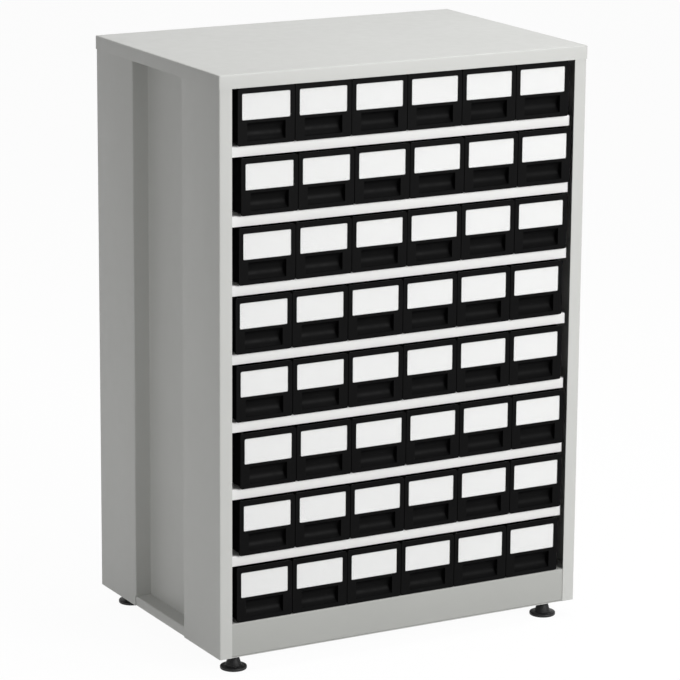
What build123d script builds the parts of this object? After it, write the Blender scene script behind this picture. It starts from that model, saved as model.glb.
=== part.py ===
"""Parts bin cabinet: folded sheet-steel carcass, seven shelves and 48 slide-out plastic bins.

Millimetres. Origin at the middle of the footprint on the floor, +Z up, front towards -Y.
"""
import math
import os

from build123d import *

# Overall size
WIDTH = 600.0
DEPTH = 400.0
HEIGHT = 870.0
FOOT_HEIGHT = 26.0            # floor to the underside of the carcass

# Sheet metal
SHEET = 1.0
BEND_INSIDE = 1.0
SIDE_GAP = 0.2                # each side of a sheet that drops in between two others

# Cover and side panels
COVER_FLANGE = 20.0
POST_FACE = 19.8              # front flange of a side panel
REAR_FLANGE = 20.0
PAN_DEPTH = 25.0              # how far the middle of a side is pressed in
PAN_FRONT = -82.0
PAN_REAR = 77.7

# Rows and shelves
ROWS = 8
COLUMNS = 6
SHELF_LIP = 15.5
SHELF_RECESS = 9.0            # front edge of a shelf behind the front of the cabinet
SHELF_OVERHANG = 3.5          # beyond the pan of a side, before and behind it
SHELF_SIDE_FLANGE = 7.5
SHELF_UPSTAND = 12.0

# Base
BASE_SURFACE = 76.9           # top surface of the base shelf above the floor
RAIL_RETURN = 12.0
TRAY_SIDE = 15.0
TRAY_LEDGE = 28.0

# Feet
FOOT_FROM_SIDE = 37.5
FOOT_FROM_FRONT = 30.0
PAD_RADIUS = 19.5
PAD_THICKNESS = 5.0
NECK_BOTTOM_RADIUS = 12.0
NECK_TOP_RADIUS = 7.5
PAD_HEIGHT = 20.0
STUD_RADIUS = 4.0
STUD_TOP = 48.0
STUD_HOLE_RADIUS = 4.6
NUT_ACROSS_FLATS = 13.0
NUT_THREAD_GAP = 0.05
LOCK_NUT_HEIGHT = 5.0
WELD_NUT_HEIGHT = 6.5

# Bins
FRONT_THICKNESS = 2.6
FRONT_CHAMFER = 2.0
FRONT_BEFORE_LIP = 6.0
WALL = 2.0
DRAFT = 0.75                  # a side wall leans out by this much
FRONT_GAP = 1.1               # between neighbouring fronts
RIM_GAP = 9.1                 # between neighbouring rims
LIP_GAP = 2.2                 # from a shelf up to the lip above it, less the bin's height
TOP_ROW_LESS = 1.0            # the top row's opening is this much lower
GLIDE_GAP = 0.4               # under the bin
REAR_GAP = 0.6                # behind the bin
STOP_LENGTH = 66.0            # raised rear walls that catch behind the lip above
STOP_RISE = 6.5
RUN_GAP = 0.3                 # least gap to the side panels
SIDE_PLAY = 6.95              # how far a middled row can be pushed to either side
# Where each row has been pushed, from the top down, as a share of its side play
ROW_SHIFT = (0.07, 0.85, 0.35, -0.42, -0.24, 0.68, 0.49, -0.12)

# Label and grip on the bin's front
CARD_SIDE_MARGIN = 7.0
CARD_TOP_MARGIN = 8.1
CARD_ABOVE_GRIP = 4.1
CARD_THICKNESS = 0.4
COVER_THICKNESS = 0.6
POCKET_DEPTH = 1.2
POCKET_GAP = 0.2
GRIP_SIDE_MARGIN = 14.5
GRIP_HEIGHT = 26.0
GRIP_DEPTH = 8.0
GRIP_CENTRE = 19.0
GRIP_FACETS = 4

# What follows from the values above
FRONT = -DEPTH / 2
REAR = DEPTH / 2
SIDE_OUTER = WIDTH / 2 - SHEET                      # inside the cover's flanges
POST_PLANE = FRONT + SHEET
PAN_INNER = SIDE_OUTER - PAN_DEPTH - SHEET
BETWEEN_SIDES = SIDE_OUTER - SHEET - BEND_INSIDE - SIDE_GAP    # half width of a sheet in their folds
BACK_INNER = REAR - 3 * SHEET                       # cover, rear flange, back panel
LIP_PLANE = FRONT + SHELF_RECESS
BIN_FRONT = LIP_PLANE - FRONT_BEFORE_LIP
UPSTAND_PLANE = BACK_INNER - SHEET
BIN_LENGTH = UPSTAND_PLANE - REAR_GAP - BIN_FRONT
TRAY_TOP = FOOT_HEIGHT + TRAY_SIDE
COVER_BOTTOM = HEIGHT - COVER_FLANGE
SIDE_TOP = HEIGHT - SHEET - BEND_INSIDE
SHELF_HALF = PAN_INNER + SHELF_OVERHANG
SHELF_PITCH = (COVER_BOTTOM - BASE_SURFACE + SHELF_LIP + TOP_ROW_LESS) / ROWS
ROW_SURFACES = [BASE_SURFACE + SHELF_PITCH * number for number in reversed(range(ROWS))]
BIN_PITCH = (2 * (PAN_INNER - RUN_GAP - SIDE_PLAY) + RIM_GAP) / COLUMNS
BIN_HEIGHT = SHELF_PITCH - SHELF_LIP - LIP_GAP
FRONT_WIDTH = BIN_PITCH - FRONT_GAP
RIM_WIDTH = BIN_PITCH - RIM_GAP
FLOOR_WIDTH = RIM_WIDTH - 2 * DRAFT
GRIP_WIDTH = FRONT_WIDTH - 2 * GRIP_SIDE_MARGIN
CARD_WIDTH = FRONT_WIDTH - 2 * CARD_SIDE_MARGIN
CARD_BOTTOM = GRIP_CENTRE + GRIP_HEIGHT / 2 + CARD_ABOVE_GRIP
CARD_HEIGHT = BIN_HEIGHT - CARD_TOP_MARGIN - CARD_BOTTOM
FOOT_PLACES = [(sx * (WIDTH / 2 - FOOT_FROM_SIDE), sy * (DEPTH / 2 - FOOT_FROM_FRONT))
               for sx in (-1, 1) for sy in (-1, 1)]


def folded(points, left):
    """Section of a folded sheet whose outer face follows the points; the metal lies on the given side."""
    radii = []
    for before, corner, after in zip(points, points[1:], points[2:]):
        turn = ((corner[0] - before[0]) * (after[1] - corner[1])
                - (corner[1] - before[1]) * (after[0] - corner[0]))
        towards_metal = (turn > 0) == left
        radii.append(BEND_INSIDE + SHEET if towards_metal else BEND_INSIDE)
    line = FilletPolyline(*points, radius=radii)
    return make_face(offset(line, amount=SHEET, side=Side.LEFT if left else Side.RIGHT))


def span_box(x, y, z):
    """Box between three pairs of limits."""
    return Pos(sum(x) / 2, sum(y) / 2, sum(z) / 2) * Box(x[1] - x[0], y[1] - y[0], z[1] - z[0])


def along_x(section, low, high):
    """Prism along X of a section drawn in Y and Z."""
    return Pos(low, 0, 0) * extrude(Plane.YZ * section, amount=high - low)


def along_y(section, low, high):
    """Prism along Y of a section drawn in X and Z."""
    return Pos(0, high, 0) * extrude(Plane.XZ * section, amount=high - low)


def cover():
    outer = span_box((-WIDTH / 2, WIDTH / 2), (FRONT, REAR), (COVER_BOTTOM, HEIGHT))
    inner = span_box((-SIDE_OUTER, SIDE_OUTER), (FRONT + SHEET, REAR - SHEET),
                     (COVER_BOTTOM, HEIGHT - SHEET))
    outer = fillet(outer.faces().sort_by(Axis.Z)[-1].edges(), BEND_INSIDE + SHEET)
    inner = fillet(inner.faces().sort_by(Axis.Z)[-1].edges(), BEND_INSIDE)
    return outer - inner


def right_side():
    post_edge = SIDE_OUTER - POST_FACE
    pan_outer = PAN_INNER + SHEET
    rear_plane = REAR - SHEET
    section = folded([
        (post_edge, POST_PLANE), (SIDE_OUTER, POST_PLANE), (SIDE_OUTER, PAN_FRONT),
        (pan_outer, PAN_FRONT), (pan_outer, PAN_REAR), (SIDE_OUTER, PAN_REAR),
        (SIDE_OUTER, rear_plane), (SIDE_OUTER - REAR_FLANGE, rear_plane)], left=True)
    panel = Pos(0, 0, FOOT_HEIGHT) * extrude(section, amount=SIDE_TOP - FOOT_HEIGHT)
    bend = BEND_INSIDE + SHEET
    foot_cut = span_box((PAN_INNER - 1, WIDTH / 2), (PAN_FRONT - bend, PAN_REAR + bend),
                        (FOOT_HEIGHT - 1, TRAY_TOP))
    return panel - foot_cut


def back_panel():
    half = BETWEEN_SIDES
    return span_box((-half, half), (BACK_INNER, BACK_INNER + SHEET), (FOOT_HEIGHT + SHEET, SIDE_TOP))


def both_sides(piece):
    """A piece on the right and its mirror image."""
    return piece + mirror(piece, about=Plane.YZ)


def shelf_sheet(section, half, surface):
    """A shelf pulled from its front section, with pan notches, side flanges and a rear upstand."""
    clear = SHEET + SIDE_GAP
    sheet = along_x(section, -half, half)
    sheet += span_box((-half, half), (UPSTAND_PLANE, BACK_INNER),
                      (surface - SHEET, surface + SHELF_UPSTAND))
    sheet -= both_sides(span_box((PAN_INNER, WIDTH / 2), (PAN_FRONT - clear, PAN_REAR + clear),
                                 (surface - 2 * SHEET, surface + SHEET)))
    return sheet + both_sides(span_box((PAN_INNER - SHEET, PAN_INNER),
                                       (PAN_FRONT + SHEET, PAN_REAR - SHEET),
                                       (surface - SHELF_SIDE_FLANGE, surface)))


def shelf(surface):
    section = folded([(LIP_PLANE, surface - SHELF_LIP), (LIP_PLANE, surface),
                      (UPSTAND_PLANE, surface)], left=False)
    return shelf_sheet(section, SHELF_HALF, surface)


def base_shelf():
    rail = POST_PLANE + SHEET
    bottom = FOOT_HEIGHT + SHEET
    section = folded([(rail + RAIL_RETURN, bottom), (rail, bottom), (rail, BASE_SURFACE),
                      (UPSTAND_PLANE, BASE_SURFACE)], left=False)
    return shelf_sheet(section, BETWEEN_SIDES, BASE_SURFACE)


def base_tray():
    outer = SIDE_OUTER - SHEET
    ledge = outer - TRAY_LEDGE
    section = folded([(-ledge, TRAY_TOP), (-outer, TRAY_TOP), (-outer, FOOT_HEIGHT),
                      (outer, FOOT_HEIGHT), (outer, TRAY_TOP), (ledge, TRAY_TOP)], left=True)
    start = POST_PLANE + SHEET + RAIL_RETURN + SHEET
    tray = along_y(section, start, BACK_INNER)
    inset = outer - BEND_INSIDE - SHEET
    tray += span_box((-inset, inset), (POST_PLANE + SHEET, start + SHEET),
                     (FOOT_HEIGHT, FOOT_HEIGHT + SHEET))
    for x, y in FOOT_PLACES:
        tray -= Pos(x, y, FOOT_HEIGHT) * Cylinder(STUD_HOLE_RADIUS, 4 * SHEET)
    return tray


def foot_pad():
    profile = Polyline((0, 0), (PAD_RADIUS, 0), (PAD_RADIUS, PAD_THICKNESS),
                       (NECK_BOTTOM_RADIUS, PAD_THICKNESS), (NECK_TOP_RADIUS, PAD_HEIGHT),
                       (0, PAD_HEIGHT), close=True)
    return revolve(Plane.XZ * make_face(profile), Axis.Z)


def upright(radius, low, high):
    """Cylinder about Z between two heights."""
    return Pos(0, 0, (low + high) / 2) * Cylinder(radius, high - low)


def nut(low, height):
    hexagon = RegularPolygon(NUT_ACROSS_FLATS / 2, 6, major_radius=False)
    body = Pos(0, 0, low) * extrude(hexagon, amount=height)
    return body - upright(STUD_RADIUS + NUT_THREAD_GAP, low - 1, low + height + 1)


def grip_section(larger):
    """Section in Y and Z of the grip's rounded hollow, or of a larger one round it."""
    radius = ((GRIP_HEIGHT / 2) ** 2 + GRIP_DEPTH ** 2) / (2 * GRIP_DEPTH)
    centre = GRIP_DEPTH - radius
    start = FRONT_THICKNESS / 2 if larger else 0
    spread = math.acos((start - centre) / (radius + larger))
    angles = [spread * (2 * step / GRIP_FACETS - 1) for step in range(GRIP_FACETS + 1)]
    points = [(centre + (radius + larger) * math.cos(angle),
               GRIP_CENTRE + (radius + larger) * math.sin(angle)) for angle in angles]
    return make_face(Polyline(*points, close=True))


def bin_shell():
    """Bin with its front face on Y = 0, its underside on Z = 0 and its middle on X = 0."""
    rim, floor = RIM_WIDTH / 2, FLOOR_WIDTH / 2
    above = BIN_HEIGHT + STOP_RISE + 1
    outer = along_y(make_face(Polyline((-floor, 0), (floor, 0), (rim, BIN_HEIGHT), (-rim, BIN_HEIGHT),
                                       close=True)), FRONT_THICKNESS / 2, BIN_LENGTH)
    outer += span_box((-rim, rim), (BIN_LENGTH - STOP_LENGTH, BIN_LENGTH),
                      (BIN_HEIGHT, BIN_HEIGHT + STOP_RISE))
    cavity = along_y(make_face(Polyline(
        (WALL - floor, WALL), (floor - WALL, WALL), (rim - WALL, BIN_HEIGHT), (rim - WALL, above),
        (WALL - rim, above), (WALL - rim, BIN_HEIGHT), close=True)), FRONT_THICKNESS, BIN_LENGTH - WALL)
    corners = chamfer(Rectangle(FRONT_WIDTH, BIN_HEIGHT).vertices(), FRONT_CHAMFER)
    front = Pos(0, 0, BIN_HEIGHT / 2) * along_y(corners, 0, FRONT_THICKNESS)
    # The wall follows behind the hollow of the grip
    backing = along_x(grip_section(WALL), -GRIP_WIDTH / 2 - WALL, GRIP_WIDTH / 2 + WALL)
    hollow = along_x(grip_section(0), -GRIP_WIDTH / 2, GRIP_WIDTH / 2)
    shell = outer - cavity + front + backing - hollow
    half = CARD_WIDTH / 2 + POCKET_GAP
    return shell - span_box((-half, half), (-1, POCKET_DEPTH),
                            (CARD_BOTTOM - POCKET_GAP, CARD_BOTTOM + CARD_HEIGHT + POCKET_GAP))


def front_sheet(rear, thickness):
    """Card or clear cover in the label pocket, its rear face at the given depth."""
    return span_box((-CARD_WIDTH / 2, CARD_WIDTH / 2), (rear - thickness, rear),
                    (CARD_BOTTOM, CARD_BOTTOM + CARD_HEIGHT))


def save(name, *pieces):
    """Write one node; more than one piece stay separate solids."""
    shape = pieces[0] if len(pieces) == 1 else Compound(children=list(pieces))
    export_step(shape, f"parts/{name}.step")


def as_solid(shape):
    """The one solid of a boolean result."""
    solids = shape.solids()
    assert len(solids) == 1, len(solids)
    return solids[0]


def at_feet(piece):
    return [Pos(x, y, 0) * piece for x, y in FOOT_PLACES]


os.makedirs("parts", exist_ok=True)

side = as_solid(right_side())
save("cover", as_solid(cover()))
save("right_side", side)
save("left_side", mirror(side, about=Plane.YZ))
save("back_panel", as_solid(back_panel()))
save("base_shelf", as_solid(base_shelf()))
save("base_tray", as_solid(base_tray()))
save("shelves", *[as_solid(shelf(surface)) for surface in ROW_SURFACES[:-1]])

save("foot_pads", *at_feet(as_solid(foot_pad())))
save("foot_studs", *at_feet(as_solid(upright(STUD_RADIUS, PAD_HEIGHT, STUD_TOP))))
save("lock_nuts", *at_feet(as_solid(nut(FOOT_HEIGHT - LOCK_NUT_HEIGHT, LOCK_NUT_HEIGHT))))
save("weld_nuts", *at_feet(as_solid(nut(FOOT_HEIGHT + SHEET, WELD_NUT_HEIGHT))))

bin_pieces = [as_solid(bin_shell()), front_sheet(POCKET_DEPTH, CARD_THICKNESS),
              front_sheet(POCKET_DEPTH - CARD_THICKNESS, COVER_THICKNESS)]
for row in range(ROWS):
    for column in range(COLUMNS):
        across = (column - (COLUMNS - 1) / 2) * BIN_PITCH + ROW_SHIFT[row] * SIDE_PLAY
        place = Pos(across, BIN_FRONT, ROW_SURFACES[row] + GLIDE_GAP)
        save(f"bin_r{row + 1}_c{column + 1}", *[place * piece for piece in bin_pieces])
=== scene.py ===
"""Dressed scene of the parts bin cabinet: folded carcass, shelves, feet and 48 slide-out bins.

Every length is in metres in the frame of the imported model: origin on the floor in the middle of the
footprint, +Z up, the bins' label cards towards -Y.
"""
from __future__ import annotations

import logging
import math
from collections.abc import Callable, Iterable
from dataclasses import dataclass, field
from enum import Enum

import bmesh
import bpy
from mathutils import Matrix, Vector

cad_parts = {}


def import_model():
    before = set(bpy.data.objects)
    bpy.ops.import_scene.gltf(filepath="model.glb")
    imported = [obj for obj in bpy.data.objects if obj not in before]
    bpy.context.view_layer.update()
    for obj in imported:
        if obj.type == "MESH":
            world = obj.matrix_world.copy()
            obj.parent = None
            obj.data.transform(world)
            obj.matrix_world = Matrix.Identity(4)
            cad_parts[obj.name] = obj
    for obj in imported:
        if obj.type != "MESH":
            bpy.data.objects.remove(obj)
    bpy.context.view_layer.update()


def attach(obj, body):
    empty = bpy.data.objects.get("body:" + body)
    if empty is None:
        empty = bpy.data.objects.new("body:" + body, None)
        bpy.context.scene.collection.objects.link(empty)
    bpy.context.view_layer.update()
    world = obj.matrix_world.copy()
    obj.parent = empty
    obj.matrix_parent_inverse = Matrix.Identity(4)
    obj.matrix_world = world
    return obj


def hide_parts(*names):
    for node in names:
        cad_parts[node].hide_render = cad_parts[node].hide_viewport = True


log = logging.getLogger("parts_bin_cabinet")

MM = 0.001
TINY = 0.01 * MM               # two places this close are the same
CUT_TOLERANCE = 0.001 * MM     # a corner this close to a cutting plane lies on it
PHOTO_WIDTH = 680
SENSOR = 36.0

Limits = tuple[float, float]


# ---- Finishes ----------------------------------------------------------------


class ShaderDesk:
    """A material's node tree with short calls for the nodes that the finishes share."""

    def __init__(self, name: str) -> None:
        """Start an empty material with its output, its main shader and object coordinates.

        Args:
            name: The material's name.
        """
        self.material = bpy.data.materials.new(name)
        self.material.use_nodes = True
        self.tree = self.material.node_tree
        self.tree.nodes.clear()
        self.output = self.tree.nodes.new("ShaderNodeOutputMaterial")
        self.shader = self.tree.nodes.new("ShaderNodeBsdfPrincipled")
        self.coordinates = self.tree.nodes.new("ShaderNodeTexCoord")
        self.link(self.shader.outputs["BSDF"], self.output.inputs["Surface"])

    def link(self, start: bpy.types.NodeSocket, end: bpy.types.NodeSocket) -> None:
        """Join two sockets."""
        self.tree.links.new(start, end)

    def set(self, **values: float | tuple[float, ...]) -> None:
        """Set the main shader's own sockets; an underscore in a keyword stands for a space.

        Args:
            **values: Socket names and their constant values.
        """
        for name, value in values.items():
            self.shader.inputs[name.replace("_", " ")].default_value = value

    def noise(self, scale: float, detail: float = 2.0,
              stretch: tuple[float, float, float] | None = None) -> bpy.types.NodeSocket:
        """Noise on object coordinates.

        Args:
            scale: Cells per metre.
            detail: Octaves.
            stretch: Factors on the coordinates, for a directional grain.

        Returns:
            The noise value socket.
        """
        node = self.tree.nodes.new("ShaderNodeTexNoise")
        node.inputs["Scale"].default_value = scale
        node.inputs["Detail"].default_value = detail
        source = self.coordinates.outputs["Object"]
        if stretch is not None:
            mapping = self.tree.nodes.new("ShaderNodeMapping")
            mapping.inputs["Scale"].default_value = stretch
            self.link(source, mapping.inputs["Vector"])
            source = mapping.outputs["Vector"]
        self.link(source, node.inputs["Vector"])
        return node.outputs["Fac"]

    def ranged(self, value: bpy.types.NodeSocket, low: float, high: float) -> bpy.types.NodeSocket:
        """The middle of a noise value spread between two numbers."""
        node = self.tree.nodes.new("ShaderNodeMapRange")
        node.inputs["From Min"].default_value = 0.3
        node.inputs["From Max"].default_value = 0.7
        node.inputs["To Min"].default_value = low
        node.inputs["To Max"].default_value = high
        self.link(value, node.inputs["Value"])
        return node.outputs["Result"]

    def colours(self, value: bpy.types.NodeSocket, low: tuple[float, float, float],
                high: tuple[float, float, float]) -> bpy.types.NodeSocket:
        """A colour between two others by the middle of a noise value."""
        node = self.tree.nodes.new("ShaderNodeValToRGB")
        node.color_ramp.elements[0].position = 0.3
        node.color_ramp.elements[1].position = 0.7
        node.color_ramp.elements[0].color = (*low, 1.0)
        node.color_ramp.elements[1].color = (*high, 1.0)
        self.link(value, node.inputs["Fac"])
        return node.outputs["Color"]

    def bump(self, height: bpy.types.NodeSocket, distance: float, strength: float,
             under: bpy.types.NodeSocket | None = None) -> bpy.types.NodeSocket:
        """A bump from a height.

        Args:
            height: The height socket.
            distance: How far a height of 1 stands out, in metres.
            strength: Share of the bump that shows.
            under: The normal of a coarser bump below this one.

        Returns:
            The normal socket.
        """
        node = self.tree.nodes.new("ShaderNodeBump")
        node.inputs["Distance"].default_value = distance
        node.inputs["Strength"].default_value = strength
        self.link(height, node.inputs["Height"])
        if under is not None:
            self.link(under, node.inputs["Normal"])
        return node.outputs["Normal"]


@dataclass(frozen=True)
class PowderCoat:
    """Stoved powder coat: a fine orange-peel skin with a soft, even gloss."""

    name: str
    colour: tuple[float, float, float]
    peel: float = 520.0
    peel_height: float = 0.06 * MM
    grain_height: float = 0.02 * MM
    mottle: float = 0.018
    roughness: float = 0.42

    def material(self) -> bpy.types.Material:
        """Build the coat's material."""
        desk = ShaderDesk(self.name)
        tone = desk.noise(5.0, 3.0)
        lighter = tuple(min(1.0, part * (1 + self.mottle)) for part in self.colour)
        darker = tuple(part * (1 - self.mottle) for part in self.colour)
        desk.link(desk.colours(tone, darker, lighter), desk.shader.inputs["Base Color"])
        desk.link(desk.ranged(desk.noise(60.0, 2.0), self.roughness - 0.04, self.roughness + 0.05),
                  desk.shader.inputs["Roughness"])
        peel = desk.bump(desk.noise(self.peel, 1.5), self.peel_height, 0.35)
        grain = desk.bump(desk.noise(self.peel * 5.5, 1.0), self.grain_height, 0.3, under=peel)
        desk.link(grain, desk.shader.inputs["Normal"])
        desk.set(Specular_IOR_Level=0.42)
        return desk.material


@dataclass(frozen=True)
class MouldedPlastic:
    """Black injection-moulded plastic with a fine spark-eroded grain."""

    name: str
    colour: tuple[float, float, float]
    roughness: float = 0.45
    shine: float = 0.05
    grain: float = 1500.0
    grain_height: float = 0.03 * MM

    def material(self) -> bpy.types.Material:
        """Build the plastic's material."""
        desk = ShaderDesk(self.name)
        lighter = tuple(part * 1.4 for part in self.colour)
        desk.link(desk.colours(desk.noise(22.0, 3.0), self.colour, lighter),
                  desk.shader.inputs["Base Color"])
        desk.link(desk.ranged(desk.noise(90.0, 2.0), self.roughness - 0.05, self.roughness + 0.05),
                  desk.shader.inputs["Roughness"])
        desk.link(desk.bump(desk.noise(self.grain, 1.0), self.grain_height, 0.4),
                  desk.shader.inputs["Normal"])
        desk.set(Specular_IOR_Level=self.shine)
        return desk.material


@dataclass(frozen=True)
class CardStock:
    """Blank white index card with a faint fibre."""

    name: str
    colour: tuple[float, float, float]

    def material(self) -> bpy.types.Material:
        """Build the card's material."""
        desk = ShaderDesk(self.name)
        fibre = desk.noise(900.0, 3.0, stretch=(0.35, 1.0, 1.0))
        darker = tuple(part * 0.975 for part in self.colour)
        desk.link(desk.colours(fibre, darker, self.colour), desk.shader.inputs["Base Color"])
        desk.link(desk.bump(fibre, 0.02 * MM, 0.25), desk.shader.inputs["Normal"])
        desk.set(Roughness=0.8, Specular_IOR_Level=0.2)
        return desk.material


@dataclass(frozen=True)
class ClearSheet:
    """Thin clear plastic that keeps the card clean."""

    name: str
    alpha: float = 0.14

    def material(self) -> bpy.types.Material:
        """Build the clear sheet's material."""
        desk = ShaderDesk(self.name)
        desk.link(desk.ranged(desk.noise(40.0, 2.0), 0.06, 0.16), desk.shader.inputs["Roughness"])
        desk.link(desk.bump(desk.noise(25.0, 1.0), 0.1 * MM, 0.1), desk.shader.inputs["Normal"])
        desk.set(Base_Color=(0.93, 0.94, 0.95, 1.0), Alpha=self.alpha, IOR=1.49)
        return desk.material


@dataclass(frozen=True)
class ZincPlate:
    """Bright zinc plating on studs and nuts, slightly cloudy."""

    name: str
    colour: tuple[float, float, float] = (0.60, 0.60, 0.58)

    def material(self) -> bpy.types.Material:
        """Build the plating's material."""
        desk = ShaderDesk(self.name)
        darker = tuple(part * 0.8 for part in self.colour)
        desk.link(desk.colours(desk.noise(260.0, 3.0), darker, self.colour),
                  desk.shader.inputs["Base Color"])
        desk.link(desk.ranged(desk.noise(400.0, 2.0), 0.26, 0.42), desk.shader.inputs["Roughness"])
        desk.link(desk.bump(desk.noise(1200.0, 1.0), 0.03 * MM, 0.3), desk.shader.inputs["Normal"])
        desk.set(Metallic=1.0)
        return desk.material


class Finish(Enum):
    """The finishes that the cabinet's pieces take."""

    CARCASS = PowderCoat("carcass_powder_coat", (0.60, 0.605, 0.585))
    BASE = PowderCoat("base_powder_coat", (0.44, 0.445, 0.425))
    SHELF = PowderCoat("shelf_powder_coat", (0.90, 0.90, 0.89))
    BIN = MouldedPlastic("bin_plastic", (0.0024, 0.0024, 0.0025))
    FOOT = MouldedPlastic("foot_plastic", (0.011, 0.011, 0.0115), roughness=0.5, shine=0.3)
    CARD = CardStock("label_card", (0.94, 0.94, 0.93))
    CLEAR = ClearSheet("label_cover")
    ZINC = ZincPlate("zinc_plate")


class PaintShop:
    """Makes each finish once and hands it out."""

    def __init__(self) -> None:
        """Start with no material made."""
        self.made: dict[Finish, bpy.types.Material] = {}

    def coat(self, finish: Finish) -> bpy.types.Material:
        """Return the material of a finish."""
        if finish not in self.made:
            self.made[finish] = finish.value.material()
        return self.made[finish]


# ---- Mesh workshop -----------------------------------------------------------


def box(x: Limits, y: Limits, z: Limits) -> bmesh.types.BMesh:
    """A box between three pairs of limits.

    Args:
        x: Lowest and highest X.
        y: Lowest and highest Y.
        z: Lowest and highest Z.

    Returns:
        A new bmesh.
    """
    bm = bmesh.new()
    middle = Vector((sum(x) / 2, sum(y) / 2, sum(z) / 2))
    size = Matrix.Diagonal((x[1] - x[0], y[1] - y[0], z[1] - z[0], 1.0))
    bmesh.ops.create_cube(bm, size=1.0, matrix=Matrix.Translation(middle) @ size)
    return bm


def cylinder(radius: float, length: float, place: Matrix, segments: int = 48) -> bmesh.types.BMesh:
    """A closed cylinder, along Z before it is placed."""
    bm = bmesh.new()
    bmesh.ops.create_cone(bm, cap_ends=True, segments=segments, radius1=radius, radius2=radius,
                          depth=length, matrix=place)
    return bm


def edges_where(bm: bmesh.types.BMesh, test: Callable[[Vector, Vector], bool]
                ) -> list[bmesh.types.BMEdge]:
    """The edges whose two ends pass a test."""
    return [edge for edge in bm.edges if test(edge.verts[0].co, edge.verts[1].co)]


def round_edges(bm: bmesh.types.BMesh, edges: Iterable[bmesh.types.BMEdge], radius: float,
                segments: int = 4) -> None:
    """Round some edges.

    Args:
        bm: The mesh.
        edges: Its edges to round.
        radius: The rounding's radius.
        segments: Faces across the rounding.
    """
    bmesh.ops.bevel(bm, geom=list(edges), offset=radius, offset_type="OFFSET", segments=segments,
                    profile=0.5, affect="EDGES", material=-1, clamp_overlap=True)


def as_mesh(bm: bmesh.types.BMesh, name: str, smooth: bool = True) -> bpy.types.Mesh:
    """Turn a bmesh into a mesh and free it.

    Args:
        bm: The finished bmesh.
        name: The mesh's name.
        smooth: Whether its faces shade smoothly.

    Returns:
        The mesh.
    """
    for face in bm.faces:
        face.smooth = smooth
    mesh = bpy.data.meshes.new(name)
    bm.to_mesh(mesh)
    bm.free()
    return mesh


def combined(base: bmesh.types.BMesh,
             steps: list[tuple[str, bmesh.types.BMesh]]) -> bmesh.types.BMesh:
    """Join, cut or intersect closed shapes in order.

    Args:
        base: The first shape; it is freed.
        steps: Pairs of UNION, DIFFERENCE or INTERSECT and the next shape; each is freed.

    Returns:
        The result as a new bmesh.
    """
    holder = bpy.data.objects.new("bench_base", as_mesh(base, "bench_base"))
    bpy.context.scene.collection.objects.link(holder)
    tools = []
    for operation, shape in steps:
        tool = bpy.data.objects.new("bench_tool", as_mesh(shape, "bench_tool"))
        bpy.context.scene.collection.objects.link(tool)
        modifier = holder.modifiers.new("step", "BOOLEAN")
        modifier.operation, modifier.object, modifier.solver = operation, tool, "EXACT"
        tools.append(tool)
    graph = bpy.context.evaluated_depsgraph_get()
    graph.update()
    mesh = bpy.data.meshes.new_from_object(holder.evaluated_get(graph))
    bm = bmesh.new()
    bm.from_mesh(mesh)
    for used in [holder, *tools]:
        data = used.data
        bpy.data.objects.remove(used)
        bpy.data.meshes.remove(data)
    bpy.data.meshes.remove(mesh)
    bmesh.ops.remove_doubles(bm, verts=bm.verts, dist=0.000005)
    bmesh.ops.dissolve_limit(bm, angle_limit=math.radians(0.5), verts=bm.verts, edges=bm.edges)
    return bm


@dataclass
class Piece:
    """One visible object: its mesh, finish, soft edges and what it rides on and stands for."""

    name: str
    mesh: bpy.types.Mesh
    finish: Finish
    body: str
    slot: str
    replaces: tuple[str, ...] = ()
    sheet: float = 0.0
    edge: float = 0.15 * MM
    edge_segments: int = 2

    def place(self, shop: PaintShop) -> bpy.types.Object:
        """Put the piece into the scene.

        Args:
            shop: Where its material comes from.

        Returns:
            The new object.
        """
        made = bpy.data.objects.new(self.name, self.mesh)
        bpy.context.scene.collection.objects.link(made)
        made.data.materials.append(shop.coat(self.finish))
        if self.sheet:
            thick = made.modifiers.new("sheet", "SOLIDIFY")
            thick.thickness, thick.offset = self.sheet, -1.0
            thick.use_even_offset, thick.use_quality_normals = True, True
        if self.edge:
            soft = made.modifiers.new("soft_edges", "BEVEL")
            soft.width, soft.segments, soft.limit_method = self.edge, self.edge_segments, "ANGLE"
            soft.angle_limit, soft.harden_normals = math.radians(38), True
            soft.miter_outer = "MITER_ARC"
        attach(made, self.body)
        if self.replaces:
            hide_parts(*self.replaces)
        log.debug("%s: %d faces", self.name, len(self.mesh.polygons))
        return made


# ---- Folded sheet metal ------------------------------------------------------


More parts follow.
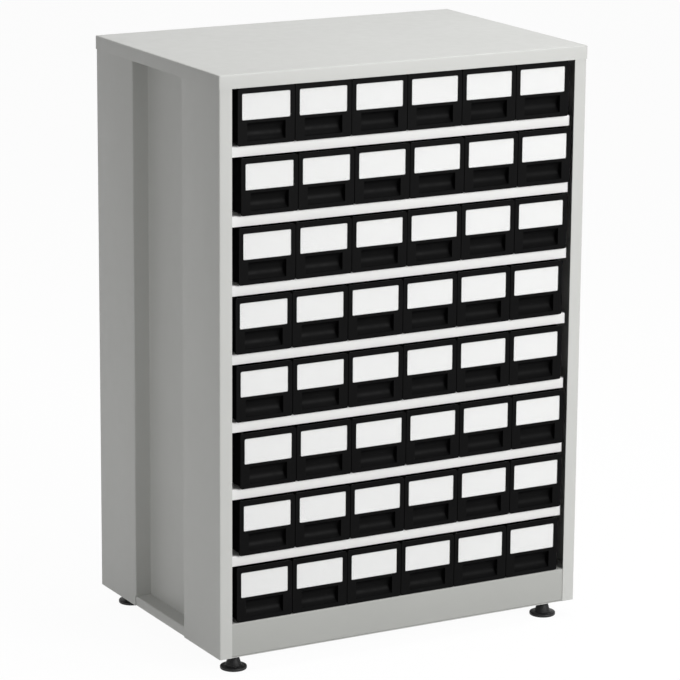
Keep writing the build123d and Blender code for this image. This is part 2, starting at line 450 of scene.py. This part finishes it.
@dataclass
class SheetBlank:
    """A flat sheet that is cut and folded; the mesh is the face outside its main bends."""

    segments: int = 5
    folds: list[tuple[list[bmesh.types.BMEdge], float]] = field(default_factory=list)
    bm: bmesh.types.BMesh = field(default_factory=bmesh.new)

    def flat(self, x: Limits, y: Limits, z: float) -> None:
        """Lay the blank flat at a height."""
        middle = Vector((sum(x) / 2, sum(y) / 2, z))
        size = Matrix.Diagonal(((x[1] - x[0]) / 2, (y[1] - y[0]) / 2, 1.0, 1.0))
        bmesh.ops.create_grid(self.bm, x_segments=1, y_segments=1, size=1.0,
                              matrix=Matrix.Translation(middle) @ size)

    def score(self, axis: int, places: Iterable[float]) -> None:
        """Divide the sheet along planes across an axis.

        Args:
            axis: 0, 1 or 2 for X, Y or Z.
            places: The planes' coordinates.
        """
        for place in places:
            point, normal = Vector(), Vector()
            point[axis], normal[axis] = place, 1.0
            bmesh.ops.bisect_plane(self.bm, geom=[*self.bm.verts, *self.bm.edges, *self.bm.faces],
                                   dist=CUT_TOLERANCE, plane_co=point, plane_no=normal)

    def cut_away(self, test: Callable[[Vector], bool]) -> None:
        """Remove the faces whose middle passes a test."""
        gone = [face for face in self.bm.faces if test(face.calc_center_median())]
        bmesh.ops.delete(self.bm, geom=gone, context="FACES")

    def fold(self, test: Callable[[Vector, Vector], bool], move: Vector, radius: float,
             then: Vector | None = None, then_radius: float = 0.0) -> None:
        """Fold a flange out of the boundary edges that pass a test.

        Args:
            test: Takes an edge's two ends.
            move: The flange's direction and depth.
            radius: Radius of the bend on the meshed face.
            then: A second flange from the first one's free edge.
            then_radius: Its bend's radius.
        """
        edges = [edge for edge in edges_where(self.bm, test) if edge.is_boundary]
        for direction, bend in ((move, radius), (then, then_radius)):
            if direction is None:
                return
            self.folds.append((edges, bend))
            grown = bmesh.ops.extrude_edge_only(self.bm, edges=edges)["geom"]
            verts = [item for item in grown if isinstance(item, bmesh.types.BMVert)]
            edges = [item for item in grown if isinstance(item, bmesh.types.BMEdge)]
            bmesh.ops.translate(self.bm, verts=verts, vec=direction)
            moved = set(verts)
            edges = [edge for edge in edges if edge.verts[0] in moved and edge.verts[1] in moved]

    def finish(self, name: str, up: Vector) -> bpy.types.Mesh:
        """Round the bends and turn the faces the right way.

        Args:
            name: The mesh's name.
            up: The direction that the first flat's outer face looks in.

        Returns:
            The open sheet, for a solidify modifier to thicken.
        """
        for edges, radius in self.folds:
            round_edges(self.bm, [edge for edge in edges if edge.is_valid], radius, self.segments)
        bmesh.ops.remove_doubles(self.bm, verts=self.bm.verts, dist=0.000002)
        bmesh.ops.recalc_face_normals(self.bm, faces=self.bm.faces)
        largest = max(self.bm.faces, key=lambda face: face.calc_area())
        if largest.normal.dot(up) < 0:
            bmesh.ops.reverse_faces(self.bm, faces=self.bm.faces)
        return as_mesh(self.bm, name)


@dataclass
class Profile:
    """A folded section drawn as a line of corners and pulled along an axis."""

    corners: list[tuple[float, float]]
    radii: list[float]
    plane: tuple[int, int]
    along: int
    limits: Limits
    segments: int = 5

    def is_long(self, edge: bmesh.types.BMEdge) -> bool:
        """Whether an edge runs along the axis that the section is pulled along."""
        return abs(edge.verts[0].co[self.along] - edge.verts[1].co[self.along]) > TINY

    def sheet(self) -> bmesh.types.BMesh:
        """Draw the line, round its corners and pull it between its limits.

        Returns:
            The open sheet as a new bmesh.
        """
        bm = bmesh.new()
        verts = []
        for first, second in self.corners:
            place = Vector()
            place[self.plane[0]], place[self.plane[1]] = first, second
            place[self.along] = self.limits[0]
            verts.append(bm.verts.new(place))
        edges = [bm.edges.new(pair) for pair in zip(verts, verts[1:])]
        move = Vector()
        move[self.along] = self.limits[1] - self.limits[0]
        grown = bmesh.ops.extrude_edge_only(bm, edges=edges)["geom"]
        bmesh.ops.translate(bm, vec=move,
                            verts=[item for item in grown if isinstance(item, bmesh.types.BMVert)])
        inner = verts[1:-1]
        for radius in sorted(set(self.radii)):
            bends = []
            for vert, own in zip(inner, self.radii):
                if own == radius and vert.is_valid:
                    bends += [edge for edge in vert.link_edges if self.is_long(edge)]
            round_edges(bm, bends, radius, self.segments)
        bmesh.ops.recalc_face_normals(bm, faces=bm.faces)
        return bm


def face_outwards(bm: bmesh.types.BMesh, test: Callable[[bmesh.types.BMFace], bool],
                  out: Vector) -> None:
    """Reverse an open sheet if the faces that pass a test look against a direction."""
    turned = sum(face.calc_area() * face.normal.dot(out) for face in bm.faces if test(face))
    if turned < 0:
        bmesh.ops.reverse_faces(bm, faces=bm.faces)


# ---- Carcass -----------------------------------------------------------------


@dataclass
class Carcass:
    """The welded carcass: cover, sides, back, shelves, base shelf and tray."""

    width: float = 600.0 * MM
    depth: float = 400.0 * MM
    height: float = 870.0 * MM
    bottom: float = 26.0 * MM
    sheet: float = 1.0 * MM
    bend: float = 1.0 * MM
    flange: float = 20.0 * MM
    post_face: float = 19.8 * MM
    pan_depth: float = 25.0 * MM
    pan: Limits = (-82.0 * MM, 77.7 * MM)
    tray_side: float = 15.0 * MM
    tray_ledge: float = 28.0 * MM
    lip: float = 15.5 * MM
    lip_plane: float = -191.0 * MM
    shelf_overhang: float = 3.5 * MM
    side_flange: float = 7.5 * MM
    upstand: float = 12.0 * MM
    base_surface: float = 76.9 * MM
    rail_return: float = 12.0 * MM
    shelf_pitch: float = 98.7 * MM
    rows: int = 8
    gap: float = 0.2 * MM

    def __post_init__(self) -> None:
        """Work out the planes that the sheets share."""
        self.outer = self.width / 2 - self.sheet
        self.front = -self.depth / 2
        self.rear = self.depth / 2
        self.pan_inner = self.outer - self.pan_depth - self.sheet
        self.shelf_half = self.pan_inner + self.shelf_overhang
        self.back_inner = self.rear - 3 * self.sheet
        self.upstand_plane = self.back_inner - self.sheet
        self.side_top = self.height - self.sheet - self.bend
        self.tray_top = self.bottom + self.tray_side
        self.between = self.outer - self.sheet - self.bend - self.gap
        self.round = self.bend + self.sheet

    def surfaces(self) -> list[float]:
        """Heights that the rows of bins stand on, the top row first; the base shelf is the last."""
        return [self.base_surface + self.shelf_pitch * number
                for number in reversed(range(self.rows))]

    def cover(self) -> Piece:
        """The lid with its flange on four sides."""
        bm = box((-self.width / 2, self.width / 2), (self.front, self.rear),
                 (self.height - self.flange, self.height))
        low = self.height - self.flange
        bmesh.ops.delete(bm, context="FACES_ONLY",
                         geom=[face for face in bm.faces if face.normal.z < -0.5])
        bends = edges_where(bm, lambda a, b: max(a.z, b.z) > low + MM)
        round_edges(bm, bends, self.round, 6)
        return Piece("cover_sheet", as_mesh(bm, "cover_sheet"), Finish.CARCASS, "cabinet", "paint",
                     ("cover",), self.sheet)

    def side(self, sign: int) -> Piece:
        """One side panel with its post face, pressed-in middle and rear flange.

        Args:
            sign: 1 for the right side, -1 for the left.

        Returns:
            The piece.
        """
        post, pan_outer = self.outer - self.post_face, self.pan_inner + self.sheet
        front, rear = self.front + self.sheet, self.rear - self.sheet
        corners = [(post, front), (self.outer, front), (self.outer, self.pan[0]),
                   (pan_outer, self.pan[0]), (pan_outer, self.pan[1]), (self.outer, self.pan[1]),
                   (self.outer, rear), (self.outer - self.flange, rear)]
        radii = [self.round, self.round, self.bend, self.bend, self.round, self.round]
        bm = Profile(corners, radii, (0, 1), 2, (self.bottom, self.side_top)).sheet()
        bmesh.ops.bisect_plane(bm, geom=[*bm.verts, *bm.edges, *bm.faces], dist=CUT_TOLERANCE,
                               plane_co=(0, 0, self.tray_top), plane_no=(0, 0, 1))
        spread = self.round + 0.1 * MM
        gone = [face for face in bm.faces
                if face.calc_center_median().z < self.tray_top
                and self.pan[0] - spread < face.calc_center_median().y < self.pan[1] + spread]
        bmesh.ops.delete(bm, geom=gone, context="FACES")
        face_outwards(bm, lambda face: abs(face.normal.x) > 0.9, Vector((1, 0, 0)))
        if sign < 0:
            bmesh.ops.scale(bm, verts=bm.verts, vec=(-1, 1, 1))
            bmesh.ops.reverse_faces(bm, faces=bm.faces)
        name = "right_side" if sign > 0 else "left_side"
        return Piece(f"{name}_sheet", as_mesh(bm, f"{name}_sheet"), Finish.CARCASS, "cabinet",
                     "paint", (name,), self.sheet)

    def back(self) -> Piece:
        """The flat back panel."""
        bm = box((-self.between, self.between), (self.back_inner, self.back_inner + self.sheet),
                 (self.bottom + self.sheet, self.side_top))
        return Piece("back_sheet", as_mesh(bm, "back_sheet"), Finish.CARCASS, "cabinet", "paint",
                     ("back_panel",))

    def shelf_mesh(self, half: float, front: float, surface: float, name: str,
                   lip: tuple[float, float | None]) -> bpy.types.Mesh:
        """A shelf sheet with its front fold, pan notches, side flanges and rear upstand.

        Args:
            half: Half its width in front of and behind the pressed-in sides.
            front: The front plane.
            surface: The height of its top face.
            name: The mesh's name.
            lip: Depth of the front fold, and of a return folded back from its foot.

        Returns:
            The open sheet.
        """
        clear = self.sheet + self.gap
        inner = self.pan_inner
        pan = (self.pan[0] - clear, self.pan[1] + clear)
        wing = (self.pan[0] + self.sheet, self.pan[1] - self.sheet)
        blank = SheetBlank()
        blank.flat((-half, half), (front, self.upstand_plane), surface)
        blank.score(0, (-inner, inner))
        blank.score(1, (*pan, *wing))
        blank.cut_away(lambda c: abs(c.x) > inner and pan[0] < c.y < pan[1])

        def on_front(a: Vector, b: Vector) -> bool:
            """Whether an edge lies on the front of the flat."""
            return max(abs(a.y - front), abs(b.y - front)) < TINY

        def on_rear(a: Vector, b: Vector) -> bool:
            """Whether an edge lies on the rear of the flat."""
            return max(abs(a.y - self.upstand_plane), abs(b.y - self.upstand_plane)) < TINY

        def on_pan(a: Vector, b: Vector) -> bool:
            """Whether an edge lies along a pressed-in side, between its steps."""
            return (max(abs(abs(a.x) - inner), abs(abs(b.x) - inner)) < TINY
                    and wing[0] - TINY < min(a.y, b.y) and max(a.y, b.y) < wing[1] + TINY)

        back_fold = Vector((0, lip[1], 0)) if lip[1] else None
        blank.fold(on_pan, Vector((0, 0, -self.side_flange)), self.round)
        blank.fold(on_rear, Vector((0, 0, self.upstand)), self.bend)
        blank.fold(on_front, Vector((0, 0, -lip[0])), self.round, back_fold, self.round)
        return blank.finish(name, Vector((0, 0, 1)))

    def shelves(self) -> list[Piece]:
        """The seven shelves; together they stand for one node."""
        made = []
        for number, surface in enumerate(self.surfaces()[:-1], 1):
            name = f"shelf_{number}"
            mesh = self.shelf_mesh(self.shelf_half, self.lip_plane, surface, name, (self.lip, None))
            made.append(Piece(name, mesh, Finish.SHELF, "cabinet", "shelf_paint", ("shelves",),
                              self.sheet))
        return made

    def base_shelf(self) -> Piece:
        """The lowest shelf, folded down into the front base rail."""
        rail = self.front + 2 * self.sheet
        mesh = self.shelf_mesh(self.between, rail, self.base_surface, "base_shelf_sheet",
                               (self.base_surface - self.bottom - self.sheet, self.rail_return))
        return Piece("base_shelf_sheet", mesh, Finish.BASE, "cabinet", "paint", ("base_shelf",),
                     self.sheet)

    def tray(self) -> Piece:
        """The base tray with its C-folded sides and the floor reaching under the rail."""
        outer = self.outer - self.sheet
        ledge = outer - self.tray_ledge
        start = self.front + 2 * self.sheet + self.rail_return + self.sheet
        corners = [(-ledge, self.tray_top), (-outer, self.tray_top), (-outer, self.bottom),
                   (outer, self.bottom), (outer, self.tray_top), (ledge, self.tray_top)]
        bm = Profile(corners, [self.round] * 4, (0, 2), 1, (start, self.back_inner)).sheet()
        face_outwards(bm, lambda face: abs(face.normal.z) > 0.9 and face.calc_area() > 0.01,
                      Vector((0, 0, -1)))
        lip = [edge for edge in edges_where(
            bm, lambda a, b: max(abs(a.y - start), abs(b.y - start)) < TINY
            and max(abs(a.z - self.bottom), abs(b.z - self.bottom)) < TINY)
            if edge.calc_length() > self.tray_side]
        grown = bmesh.ops.extrude_edge_only(bm, edges=lip)["geom"]
        bmesh.ops.translate(bm, vec=(0, self.front + 2 * self.sheet - start, 0),
                            verts=[item for item in grown if isinstance(item, bmesh.types.BMVert)])
        bmesh.ops.recalc_face_normals(bm, faces=bm.faces)
        face_outwards(bm, lambda face: face.calc_area() > 0.01, Vector((0, 0, -1)))
        return Piece("base_tray_sheet", as_mesh(bm, "base_tray_sheet"), Finish.CARCASS, "cabinet",
                     "paint", ("base_tray",), self.sheet)

    def pieces(self) -> list[Piece]:
        """Every piece of the carcass."""
        return [self.cover(), self.side(-1), self.side(1), self.back(), *self.shelves(),
                self.base_shelf(), self.tray()]


# ---- Feet --------------------------------------------------------------------


@dataclass
class LevellingFeet:
    """Four screw feet: plastic pads, zinc studs, lock nuts under the tray and weld nuts in it."""

    places: tuple[tuple[float, float], ...] = tuple(
        (x * MM, y * MM) for x in (-262.5, 262.5) for y in (-170.0, 170.0))
    pad_radius: float = 19.5 * MM
    pad_thickness: float = 5.0 * MM
    neck: tuple[float, float] = (12.0 * MM, 7.5 * MM)
    pad_height: float = 20.0 * MM
    stud_radius: float = 4.0 * MM
    stud_top: float = 48.0 * MM
    thread_pitch: float = 1.25 * MM
    thread_depth: float = 0.6 * MM
    nut_flats: float = 13.0 * MM
    lock_nut: Limits = (21.0 * MM, 26.0 * MM)
    weld_nut: Limits = (27.0 * MM, 33.5 * MM)
    segments: int = 48

    def turned(self, outline: list[tuple[float, float]]) -> bmesh.types.BMesh:
        """Turn an outline of radius and height about the foot's axis.

        Args:
            outline: Corners from the axis at the bottom round to the axis at the top.

        Returns:
            The closed turned shape.
        """
        bm = bmesh.new()
        verts = [bm.verts.new((radius, 0, height)) for radius, height in outline]
        edges = [bm.edges.new(pair) for pair in zip(verts, verts[1:])]
        bmesh.ops.spin(bm, geom=[*verts, *edges], cent=(0, 0, 0), axis=(0, 0, 1),
                       angle=math.tau, steps=self.segments, use_merge=True)
        bmesh.ops.remove_doubles(bm, verts=bm.verts, dist=0.000001)
        bmesh.ops.recalc_face_normals(bm, faces=bm.faces)
        return bm

    def pad(self) -> bmesh.types.BMesh:
        """One pad with a dished top, a conical neck and a moulded collar."""
        rim = self.pad_thickness
        return self.turned([
            (0, 0), (self.pad_radius - 1.2 * MM, 0), (self.pad_radius - 0.35 * MM, 0.35 * MM),
            (self.pad_radius, 1.2 * MM), (self.pad_radius, rim - 1.4 * MM),
            (self.pad_radius - 0.5 * MM, rim - 0.6 * MM),
            (self.pad_radius - 1.6 * MM, rim - 0.2 * MM),
            (self.neck[0] + 1.5 * MM, rim), (self.neck[0] - 0.2 * MM, rim + 0.9 * MM),
            (self.neck[1] + 0.4 * MM, self.pad_height - 2.0 * MM),
            (self.neck[1], self.pad_height - 1.2 * MM), (self.neck[1], self.pad_height - 0.4 * MM),
            (self.neck[1] - 0.4 * MM, self.pad_height), (0, self.pad_height)])

    def threaded_stud(self) -> bmesh.types.BMesh:
        """One stud, ringed at the thread's pitch."""
        low, high = self.pad_height - 2 * MM, self.stud_top
        core = self.stud_radius - self.thread_depth
        outline = [(0, low), (core, low)]
        height = low
        while height + self.thread_pitch < high - MM:
            outline += [(self.stud_radius, height + self.thread_pitch / 2),
                        (core, height + self.thread_pitch)]
            height += self.thread_pitch
        return self.turned([*outline, (core, high), (0, high)])

    def nut(self, limits: Limits) -> bmesh.types.BMesh:
        """One chamfered hexagon nut between two heights."""
        middle = Matrix.Translation((0, 0, sum(limits) / 2))
        height = limits[1] - limits[0]
        hexagon = cylinder(self.nut_flats / math.sqrt(3), height, middle, 6)
        chamfer = self.turned([
            (0, limits[0]), (self.nut_flats / 2 - 0.1 * MM, limits[0]),
            (self.nut_flats / 2 + 1.1 * MM, limits[0] + 0.7 * MM),
            (self.nut_flats / 2 + 1.1 * MM, limits[1] - 0.7 * MM),
            (self.nut_flats / 2 - 0.1 * MM, limits[1]), (0, limits[1])])
        bore = cylinder(self.stud_radius + 0.05 * MM, height + 2 * MM, middle, self.segments)
        return combined(hexagon, [("INTERSECT", chamfer), ("DIFFERENCE", bore)])

    def four(self, single: bmesh.types.BMesh, name: str) -> bpy.types.Mesh:
        """One mesh with a copy of a shape at each foot."""
        template = as_mesh(single, f"{name}_one")
        bm = bmesh.new()
        for x, y in self.places:
            before = len(bm.verts)
            bm.from_mesh(template)
            bm.verts.ensure_lookup_table()
            bmesh.ops.translate(bm, verts=bm.verts[before:], vec=(x, y, 0))
        bpy.data.meshes.remove(template)
        return as_mesh(bm, name)

    def pieces(self) -> list[Piece]:
        """The four groups of foot pieces."""
        return [
            Piece("foot_pad_set", self.four(self.pad(), "foot_pad_set"), Finish.FOOT, "cabinet",
                  "foot_plastic", ("foot_pads",), edge=0.0),
            Piece("foot_stud_set", self.four(self.threaded_stud(), "foot_stud_set"), Finish.ZINC,
                  "cabinet", "zinc", ("foot_studs",), edge=0.0),
            Piece("lock_nut_set", self.four(self.nut(self.lock_nut), "lock_nut_set"), Finish.ZINC,
                  "cabinet", "zinc", ("lock_nuts",)),
            Piece("weld_nut_set", self.four(self.nut(self.weld_nut), "weld_nut_set"), Finish.ZINC,
                  "cabinet", "zinc", ("weld_nuts",))]


# ---- Bins --------------------------------------------------------------------


@dataclass
class SlideOutBin:
    """One moulded bin with its label card and clear cover, drawn with its front face on Y = 0."""

    length: float = 392.4 * MM
    height: float = 81.0 * MM
    front_width: float = 89.0 * MM
    front_thickness: float = 2.6 * MM
    front_corner: float = 3.0 * MM
    rim_half: float = 40.5 * MM
    floor_half: float = 39.75 * MM
    wall: float = 2.0 * MM
    stop_length: float = 66.0 * MM
    stop_rise: float = 6.5 * MM
    corner: float = 3.0 * MM
    card: tuple[float, float] = (75.0 * MM, 36.8 * MM)
    card_bottom: float = 36.1 * MM
    card_thickness: float = 0.4 * MM
    cover_thickness: float = 0.6 * MM
    card_corner: float = 1.6 * MM
    pocket_depth: float = 1.2 * MM
    pocket_gap: float = 0.2 * MM
    air: float = 0.1 * MM
    grip_width: float = 60.0 * MM
    grip_height: float = 26.0 * MM
    grip_depth: float = 8.0 * MM
    grip_centre: float = 19.0 * MM
    divider_places: tuple[float, ...] = tuple(y * MM for y in (92.0, 170.0, 248.0))
    rib: tuple[float, float] = (0.9 * MM, 1.4 * MM)
    rib_gap: float = 2.2 * MM

    def tapered(self, inset: float, y: Limits, z: Limits, corner: float) -> bmesh.types.BMesh:
        """A box that follows the bin's draft.

        Args:
            inset: How far inside the outer faces.
            y: Front and rear limits.
            z: Lowest and highest limits.
            corner: Radius of its rear and lower edges.

        Returns:
            The closed shape.
        """
        bm = box((-1, 1), y, z)
        for vert in bm.verts:
            vert.co.x *= (self.floor_half if vert.co.z < z[0] + MM else self.rim_half) - inset

        def is_soft(a: Vector, b: Vector) -> bool:
            """Whether an edge is one of the upright rear ones or lies round the floor."""
            upright_rear = min(a.y, b.y) > y[1] - MM and abs(a.z - b.z) > MM
            on_floor = max(a.z, b.z) < z[0] + MM
            return upright_rear or (on_floor and (abs(a.y - b.y) > MM or min(a.y, b.y) > y[0] + MM))

        round_edges(bm, edges_where(bm, is_soft), corner, 4)
        return bm

    def shell(self) -> bpy.types.Mesh:
        """The moulding: body, front, grip, label pocket, divider ribs and raised rear stops."""
        top = self.height + self.stop_rise
        body = self.tapered(0.0, (self.front_thickness / 2, self.length), (0, top), self.corner)
        half, deep = 60 * MM, 5 * MM
        before_stops = box((-half, half), (-deep, self.length - self.stop_length),
                           (self.height, top + deep))
        cavity = self.tapered(self.wall, (self.front_thickness, self.length - self.wall),
                              (self.wall, top + deep), self.corner - 0.8 * MM)
        front = box((-self.front_width / 2, self.front_width / 2), (0, self.front_thickness),
                    (0, self.height))
        round_edges(front, edges_where(front, lambda a, b: abs(a.y - b.y) > MM),
                    self.front_corner, 5)
        radius = ((self.grip_height / 2) ** 2 + self.grip_depth ** 2) / (2 * self.grip_depth)
        place = (Matrix.Translation((0, self.grip_depth - radius, self.grip_centre))
                 @ Matrix.Rotation(math.pi / 2, 4, "Y"))
        backing = combined(cylinder(radius + self.wall, self.grip_width + 2 * self.wall, place),
                           [("INTERSECT", box((-half, half), (self.front_thickness / 2, half),
                                              (self.wall / 2, self.height)))])
        pocket_half = self.card[0] / 2 + self.pocket_gap
        pocket = box((-pocket_half, pocket_half), (-deep, self.pocket_depth),
                     (self.card_bottom - self.pocket_gap,
                      self.card_bottom + self.card[1] + self.pocket_gap))
        round_edges(pocket, edges_where(pocket, lambda a, b: abs(a.y - b.y) > MM),
                    self.card_corner + self.pocket_gap, 4)
        moulding = combined(body, [
            ("DIFFERENCE", before_stops), ("DIFFERENCE", cavity), ("UNION", front),
            ("UNION", backing), ("DIFFERENCE", cylinder(radius, self.grip_width, place)),
            ("DIFFERENCE", pocket), ("UNION", self.ribs())])
        return as_mesh(moulding, "bin_shell")

    def ribs(self) -> bmesh.types.BMesh:
        """Pairs of low ribs inside each side wall, which hold dividers."""
        bm = bmesh.new()
        for y in self.divider_places:
            for side in (-1, 1):
                for fore_aft in (-1, 1):
                    centre = y + fore_aft * (self.rib_gap + self.rib[1]) / 2
                    low, high = self.wall + 0.5 * MM, self.height - 6 * MM
                    inner = self.floor_half - self.wall - self.rib[0]
                    x = sorted((side * inner, side * (self.rim_half - self.wall / 2)))
                    part = box((x[0], x[1]), (centre - self.rib[1] / 2, centre + self.rib[1] / 2),
                               (low, high))
                    mesh = as_mesh(part, "rib")
                    bm.from_mesh(mesh)
                    bpy.data.meshes.remove(mesh)
        return bm

    def pocket_sheet(self, rear: float, thickness: float, name: str) -> bpy.types.Mesh:
        """The card or the clear cover in the label pocket."""
        bm = box((-self.card[0] / 2, self.card[0] / 2), (rear - thickness, rear),
                 (self.card_bottom, self.card_bottom + self.card[1]))
        round_edges(bm, edges_where(bm, lambda a, b: abs(a.y - b.y) > 0.1 * MM),
                    self.card_corner, 4)
        return as_mesh(bm, name, smooth=False)


@dataclass
class BinRack:
    """All the bins, in their rows and columns."""

    rows: int = 8
    columns: int = 6
    pitch: float = 90.1 * MM
    front: float = -197.0 * MM
    side_play: float = 6.95 * MM
    glide: float = 0.4 * MM
    shifts: tuple[float, ...] = (0.07, 0.85, 0.35, -0.42, -0.24, 0.68, 0.49, -0.12)
    design: SlideOutBin = field(default_factory=SlideOutBin)

    def place(self, row: int, column: int, surfaces: list[float]) -> Vector:
        """Where a bin stands; rows and columns count from the top left."""
        across = (column - (self.columns - 1) / 2) * self.pitch + self.shifts[row] * self.side_play
        return Vector((across, self.front, surfaces[row] + self.glide))

    def pieces(self, surfaces: list[float]) -> list[Piece]:
        """Three pieces for each bin.

        Args:
            surfaces: The height that each row stands on, the top row first.

        Returns:
            Shells, cards and clear covers.
        """
        shell = self.design.shell()
        design = self.design
        floor, card_front = design.pocket_depth, design.pocket_depth - design.card_thickness
        behind = design.air / 5
        card = design.pocket_sheet(floor - behind, design.card_thickness - behind, "card")
        cover = design.pocket_sheet(card_front - design.air, design.cover_thickness - design.air,
                                    "clear")
        parts = (("shell", shell, Finish.BIN), ("card", card, Finish.CARD),
                 ("cover", cover, Finish.CLEAR))
        made = []
        for row in range(self.rows):
            for column in range(self.columns):
                node = f"bin_r{row + 1}_c{column + 1}"
                move = Matrix.Translation(self.place(row, column, surfaces))
                for part, template, finish in parts:
                    mesh = template.copy()
                    mesh.name = f"{node}_{part}"
                    mesh.transform(move)
                    edge = 0.3 * MM if part == "shell" else 0.0
                    made.append(Piece(f"{node}_{part}", mesh, finish, node, "bin_plastic", (node,),
                                      edge=edge))
        for _, template, _ in parts:
            bpy.data.meshes.remove(template)
        return made


# ---- Studio ------------------------------------------------------------------


@dataclass
class Studio:
    """Pale floor, white surround, soft lamps and the photograph's camera."""

    camera_at: tuple[float, float, float] = (-2.388, -4.313, 1.646)
    yaw: float = 29.006
    pitch: float = 13.972
    roll: float = 0.429
    focal_pixels: float = 3409.4
    surround: float = 0.175

    def camera(self) -> None:
        """Set up the camera of the photograph."""
        yaw, pitch, roll = (math.radians(angle) for angle in (self.yaw, self.pitch, self.roll))
        forward = Vector((math.sin(yaw) * math.cos(pitch), math.cos(yaw) * math.cos(pitch),
                          -math.sin(pitch)))
        right = Vector((math.cos(yaw), -math.sin(yaw), 0.0))
        up = right.cross(forward)
        rolled_right = math.cos(roll) * right + math.sin(roll) * up
        rolled_up = -math.sin(roll) * right + math.cos(roll) * up
        data = bpy.data.cameras.new("photo_camera")
        data.sensor_width = SENSOR
        data.lens = self.focal_pixels / PHOTO_WIDTH * SENSOR
        data.clip_end = 100.0
        camera = bpy.data.objects.new("photo_camera", data)
        turn = Matrix((rolled_right, rolled_up, -forward)).transposed().to_4x4()
        camera.matrix_world = Matrix.Translation(self.camera_at) @ turn
        bpy.context.scene.collection.objects.link(camera)
        bpy.context.scene.camera = camera

    def white_for_sight(self, tree: bpy.types.NodeTree) -> bpy.types.NodeSocket:
        """1 for camera, glossy and transmission rays, else 0."""
        path = tree.nodes.new("ShaderNodeLightPath")
        total: bpy.types.NodeSocket = path.outputs["Is Camera Ray"]
        for ray in ("Is Glossy Ray", "Is Transmission Ray"):
            larger = tree.nodes.new("ShaderNodeMath")
            larger.operation = "MAXIMUM"
            tree.links.new(total, larger.inputs[0])
            tree.links.new(path.outputs[ray], larger.inputs[1])
            total = larger.outputs[0]
        return total

    def world(self) -> None:
        """White to the eye and in reflections, and a softer light on the object."""
        world = bpy.data.worlds.new("studio")
        bpy.context.scene.world = world
        world.use_nodes = True
        tree = world.node_tree
        tree.nodes.clear()
        soft, white = (tree.nodes.new("ShaderNodeBackground") for _ in range(2))
        soft.inputs["Color"].default_value = (1.0, 0.99, 0.975, 1.0)
        soft.inputs["Strength"].default_value = self.surround
        white.inputs["Strength"].default_value = 1.0
        white.inputs["Color"].default_value = (1.0, 1.0, 1.0, 1.0)
        mix = tree.nodes.new("ShaderNodeMixShader")
        output = tree.nodes.new("ShaderNodeOutputWorld")
        tree.links.new(self.white_for_sight(tree), mix.inputs["Fac"])
        tree.links.new(soft.outputs[0], mix.inputs[1])
        tree.links.new(white.outputs[0], mix.inputs[2])
        tree.links.new(mix.outputs[0], output.inputs["Surface"])

    def floor(self) -> None:
        """A pale floor that keeps a faint shadow."""
        bm = bmesh.new()
        bmesh.ops.create_grid(bm, x_segments=1, y_segments=1, size=30.0)
        floor = bpy.data.objects.new("studio_floor", as_mesh(bm, "studio_floor"))
        bpy.context.scene.collection.objects.link(floor)
        material = bpy.data.materials.new("studio_floor")
        material.use_nodes = True
        tree = material.node_tree
        tree.nodes.clear()
        diffuse = tree.nodes.new("ShaderNodeBsdfDiffuse")
        diffuse.inputs["Color"].default_value = (0.82, 0.82, 0.82, 1.0)
        glow = tree.nodes.new("ShaderNodeEmission")
        glow.inputs["Strength"].default_value = 1.03
        share = tree.nodes.new("ShaderNodeMath")
        share.operation = "MULTIPLY"
        share.inputs[1].default_value = 0.93
        mix = tree.nodes.new("ShaderNodeMixShader")
        output = tree.nodes.new("ShaderNodeOutputMaterial")
        tree.links.new(self.white_for_sight(tree), share.inputs[0])
        tree.links.new(share.outputs[0], mix.inputs["Fac"])
        tree.links.new(diffuse.outputs[0], mix.inputs[1])
        tree.links.new(glow.outputs[0], mix.inputs[2])
        tree.links.new(mix.outputs[0], output.inputs["Surface"])
        floor.data.materials.append(material)

    def lamp(self, name: str, at: tuple[float, float, float], aim: tuple[float, float, float],
             size: float, watts: float) -> None:
        """A square soft lamp.

        Args:
            name: Its name.
            at: Where it hangs.
            aim: What it looks at.
            size: Its side.
            watts: Its power.
        """
        data = bpy.data.lights.new(name, "AREA")
        data.shape, data.size, data.energy = "SQUARE", size, watts
        lamp = bpy.data.objects.new(name, data)
        lamp.location = at
        lamp.rotation_mode = "QUATERNION"
        lamp.rotation_quaternion = (Vector(aim) - Vector(at)).to_track_quat("-Z", "Y")
        lamp.visible_camera = False
        bpy.context.scene.collection.objects.link(lamp)

    def build(self) -> None:
        """Set up the whole studio."""
        bpy.context.scene.view_settings.view_transform = "Standard"
        self.camera()
        self.world()
        self.floor()
        self.lamp("key", (1.2, -3.6, 1.7), (0.0, 0.0, 0.6), 1.6, 92.0)
        self.lamp("overhead", (0.4, -0.2, 2.9), (0.1, 0.0, 0.8), 1.8, 35.0)
        self.lamp("floor_bounce", (-1.5, -0.1, 0.1), (-0.3, 0.0, 0.2), 0.8, 2.6)


# ------------------------------------------------------------------------------


def main() -> None:
    """Load the frame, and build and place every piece."""
    logging.basicConfig(level=logging.INFO, format="%(name)s: %(message)s")
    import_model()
    shop = PaintShop()
    Studio().build()
    carcass = Carcass()
    pieces = [*carcass.pieces(), *LevellingFeet().pieces(), *BinRack().pieces(carcass.surfaces())]
    for piece in pieces:
        piece.place(shop)
    log.info("%d pieces placed", len(pieces))


if __name__ == "__main__":
    main()
